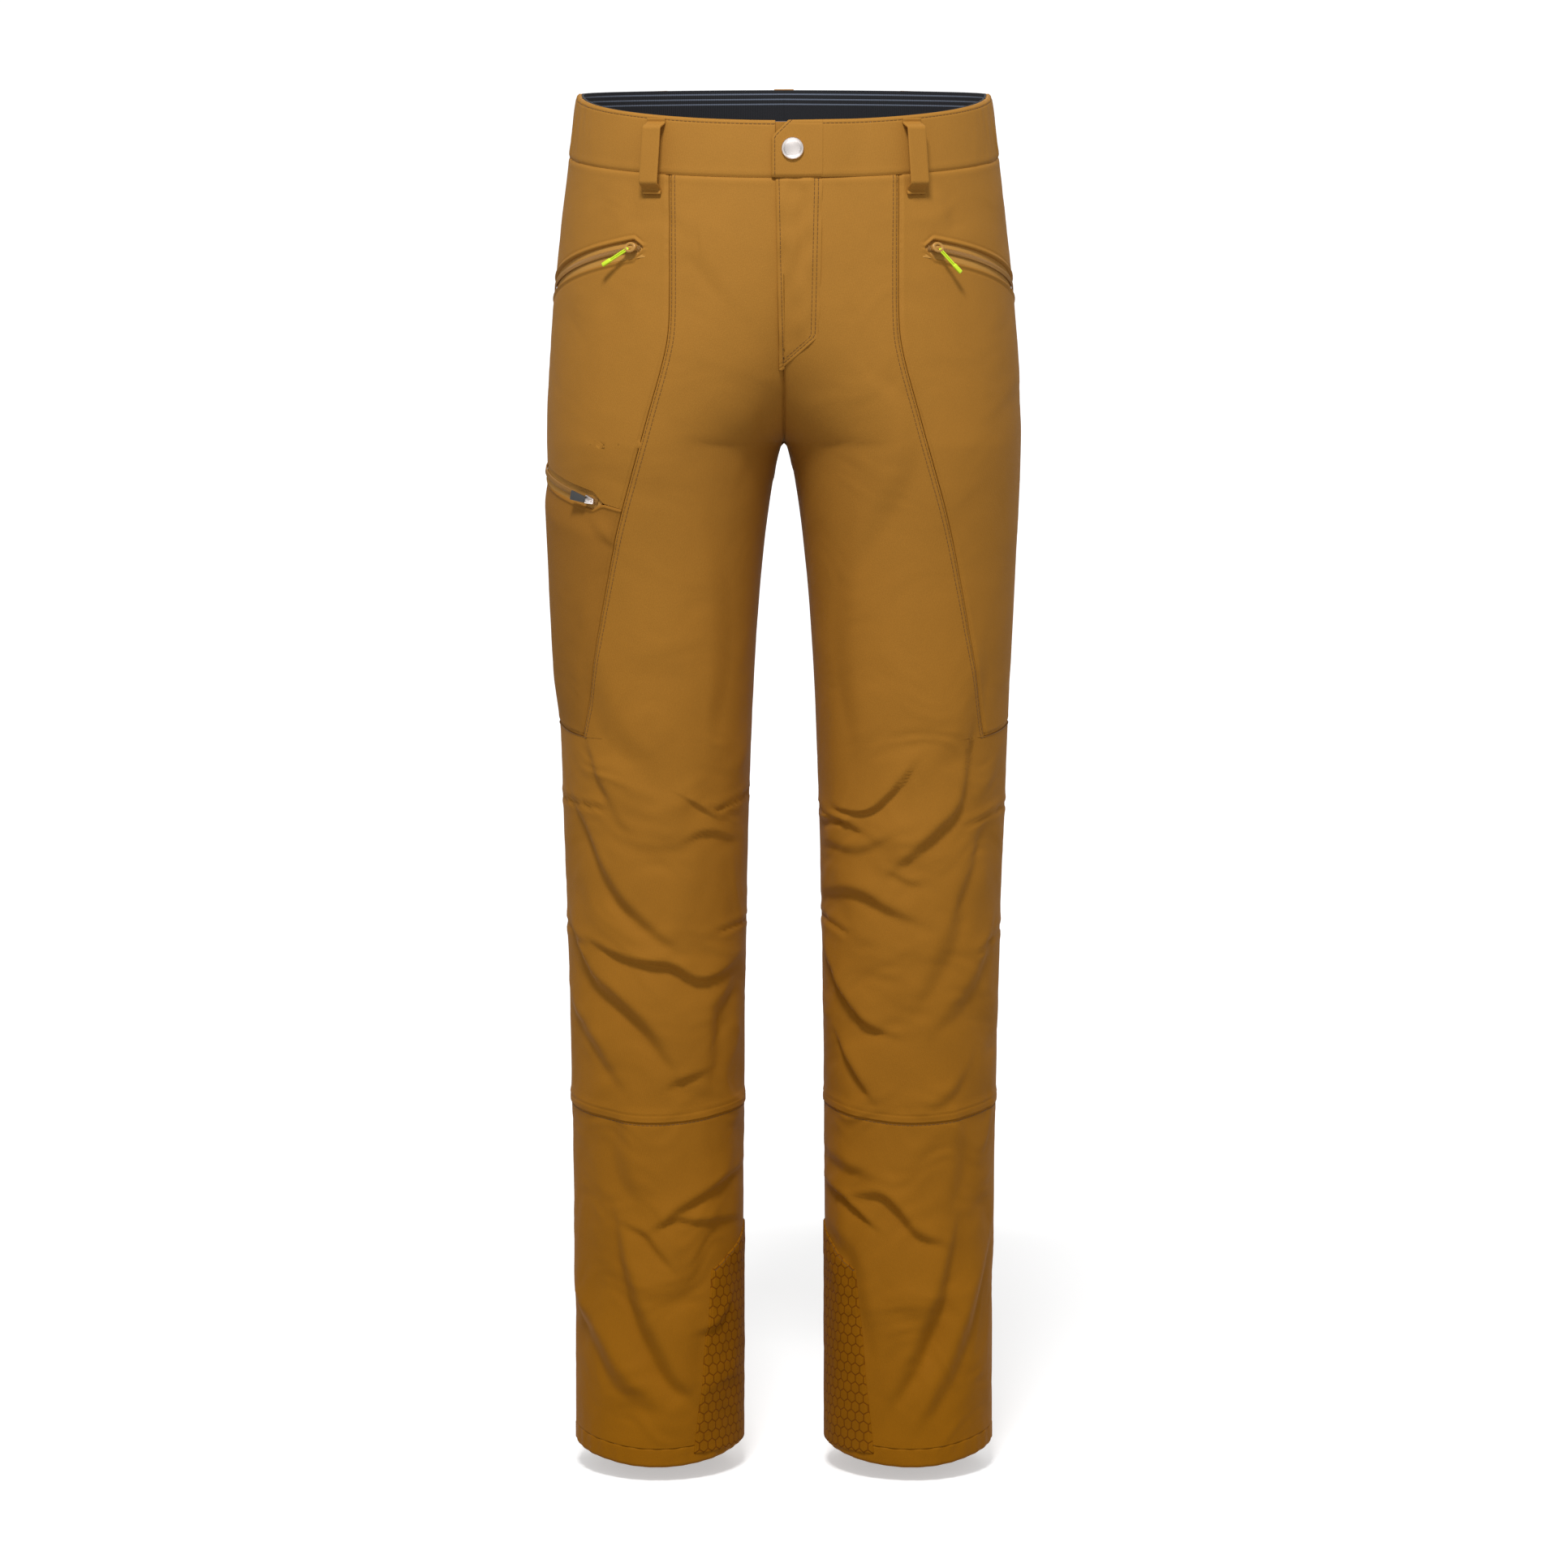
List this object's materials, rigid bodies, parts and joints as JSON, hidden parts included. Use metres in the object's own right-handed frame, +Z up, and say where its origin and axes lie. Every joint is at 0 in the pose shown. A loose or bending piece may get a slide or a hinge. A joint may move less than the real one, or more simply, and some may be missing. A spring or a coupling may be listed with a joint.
{
  "type": "outdoor trousers",
  "caption": "Full-length softshell trousers with waistband, belt loops, snap and zip fly, zipped hand pockets, a zipped thigh pocket, shaped knees and ankle scuff guards.",
  "frame": {"origin": "middle of the waist opening, level with the top of the waistband at the sides", "axes": "+Z up out of the waist, the front faces -Y, +X is the wearer's left"},
  "size_m": [0.3727, 0.2665, 1.0816],
  "materials": {
    "softshell": "matte stretch softshell, fine woven face",
    "pocket_fabric": "smoother, slightly darker softshell",
    "scuff_fabric": "tough dark brown fabric printed with a honeycomb of small cells",
    "lining": "thin woven lining",
    "elastic": "ribbed knitted elastic with fine pale lines",
    "zip_tape": "ochre woven tape",
    "zip_coil": "nylon coil",
    "slider_paint": "ochre lacquered die-cast slider",
    "steel": "plain nickel finish",
    "neon": "yellow-green cord with a moulded end",
    "puller": "moulded grey puller"
  },
  "bodies": {
    "trousers": {"waistband_front_left": "softshell", "waistband_front_right": "softshell", "waistband_back": "softshell", "belt_loop_front_left": "softshell", "belt_loop_back_left": "softshell", "belt_loop_front_right": "softshell", "belt_loop_back_right": "softshell", "belt_loop_back_middle": "softshell", "front_panel_left": "softshell", "front_panel_right": "softshell", "side_panel_left": "softshell", "side_panel_right": "softshell", "back_yoke_left": "softshell", "back_yoke_right": "softshell", "back_panel_left": "softshell", "back_panel_right": "softshell", "lower_leg_front_left": "softshell", "lower_leg_front_right": "softshell", "lower_leg_back_left": "softshell", "lower_leg_back_right": "softshell", "hem_left": "softshell", "hem_right": "softshell", "thigh_pocket_panel": "pocket_fabric", "scuff_guard_left": "scuff_fabric", "scuff_guard_right": "scuff_fabric", "fly_underlap": "lining", "hand_pocket_bag_left": "lining", "hand_pocket_bag_right": "lining", "thigh_pocket_bag": "lining", "waist_elastic": "elastic", "fly_tape_left": "zip_tape", "fly_tape_right": "zip_tape", "hand_zip_left_tape": "zip_tape", "hand_zip_right_tape": "zip_tape", "thigh_zip_tape": "zip_tape", "fly_teeth_left": "zip_coil", "fly_teeth_right": "zip_coil", "hand_zip_left_coil": "zip_coil", "hand_zip_right_coil": "zip_coil", "thigh_zip_coil": "zip_coil", "snap_stud": "steel", "snap_back": "steel", "fly_bottom_stop": "steel"},
    "fly_front": {"fly_flap": "softshell", "waistband_tab": "softshell", "snap_cap": "steel", "snap_socket": "steel"},
    "fly_slider": {"fly_slider": "steel", "fly_pull": "steel"},
    "hand_slider_left": {"hand_zip_left_slider": "slider_paint"},
    "hand_pull_left": {"hand_zip_left_pull_cord": "neon", "hand_zip_left_pull_end": "neon"},
    "hand_slider_right": {"hand_zip_right_slider": "slider_paint"},
    "hand_pull_right": {"hand_zip_right_pull_cord": "neon", "hand_zip_right_pull_end": "neon"},
    "thigh_slider": {"thigh_zip_slider": "steel"},
    "thigh_pull": {"thigh_zip_pull_end": "puller"}
  },
  "joints": [
    {"name": "fly_front_fold", "type": "hinge", "parent": "trousers", "child": "fly_front", "pos_m": [0.028, -0.1235, -0.11], "axis": [0, 0, 1], "range_deg": [0, 100]},
    {"name": "fly_zip", "type": "slide", "parent": "trousers", "child": "fly_slider", "axis": [0, 0.0572, -0.9984], "range_m": [0, 0.095]},
    {"name": "hand_zip_left", "type": "hinge", "parent": "trousers", "child": "hand_slider_left", "pos_m": [0.05708, 0.00619, -0.15565], "axis": [-0.0256, 0.3188, 0.9475], "range_deg": [0, 58]},
    {"name": "hand_pull_left", "type": "hinge", "parent": "hand_slider_left", "child": "hand_pull_left", "pos_m": [0.11724, -0.09858, -0.11877], "axis": [0.0256, -0.3188, -0.9475], "range_deg": [0, 150]},
    {"name": "hand_zip_right", "type": "hinge", "parent": "trousers", "child": "hand_slider_right", "pos_m": [-0.05708, 0.00619, -0.15565], "axis": [-0.0256, -0.3188, -0.9475], "range_deg": [0, 58]},
    {"name": "hand_pull_right", "type": "hinge", "parent": "hand_slider_right", "child": "hand_pull_right", "pos_m": [-0.11724, -0.09858, -0.11877], "axis": [0.0256, 0.3188, 0.9475], "range_deg": [0, 150]},
    {"name": "thigh_zip", "type": "hinge", "parent": "trousers", "child": "thigh_slider", "pos_m": [-0.0769, 0.00071, -0.30811], "axis": [-0.1609, 0.1775, -0.9709], "range_deg": [0, 52]},
    {"name": "thigh_pull", "type": "hinge", "parent": "thigh_slider", "child": "thigh_pull", "pos_m": [-0.15084, -0.0876, -0.31201], "axis": [0.1609, -0.1775, 0.9709], "range_deg": [0, 150]}
  ]
}
